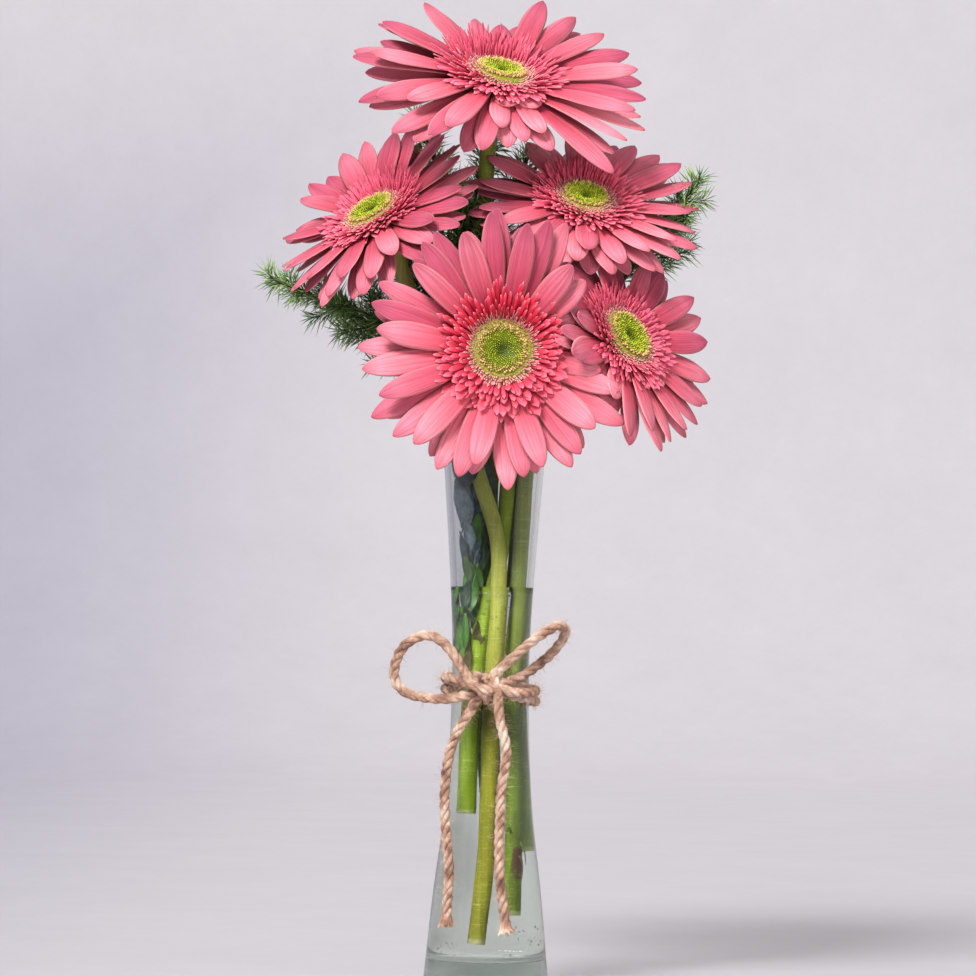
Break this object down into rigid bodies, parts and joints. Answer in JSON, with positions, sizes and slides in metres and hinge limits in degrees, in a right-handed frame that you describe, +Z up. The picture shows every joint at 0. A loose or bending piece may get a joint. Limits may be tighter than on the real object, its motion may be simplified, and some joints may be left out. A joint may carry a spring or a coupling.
{
  "type": "gerberas in a vase",
  "caption": "Pink gerbera blooms on bare stems with fern sprays, standing in a tall waisted glass bud vase filled with water and tied with a jute twine bow.",
  "frame": {"origin": "centre of the vase's flat foot, on the surface it stands on", "axes": "+Z up along the vase, +X to the right and -Y to the front, where the largest bloom and the knot of the bow face"},
  "size_m": [0.193, 0.1088, 0.4199],
  "materials": {
    "vase_glass": "clear soda-lime glass, polished",
    "water": "clear water",
    "petals": "coral-pink ray petals, finely grooved, satin",
    "disc_florets": "green florets with a cream-yellow ring, matte",
    "stems": "bare green stem with fine down, satin",
    "fern": "dark green needle foliage, matte",
    "twine": "three-ply jute twine, hairy and matte"
  },
  "bodies": {
    "root": {"vase_glass": "vase_glass", "water": "water", "petals_1": "petals", "petals_2": "petals", "petals_3": "petals", "petals_4": "petals", "petals_5": "petals", "disc_1": "disc_florets", "disc_2": "disc_florets", "disc_3": "disc_florets", "disc_4": "disc_florets", "disc_5": "disc_florets", "stem_1": "stems", "stem_2": "stems", "stem_3": "stems", "stem_4": "stems", "stem_5": "stems", "fern_left": "fern", "fern_back": "fern", "fern_right": "fern", "twine_wrap": "twine", "twine_knot": "twine", "twine_loop_left": "twine", "twine_loop_right": "twine", "twine_tail_left": "twine", "twine_tail_right": "twine"}
  },
  "joints": []
}
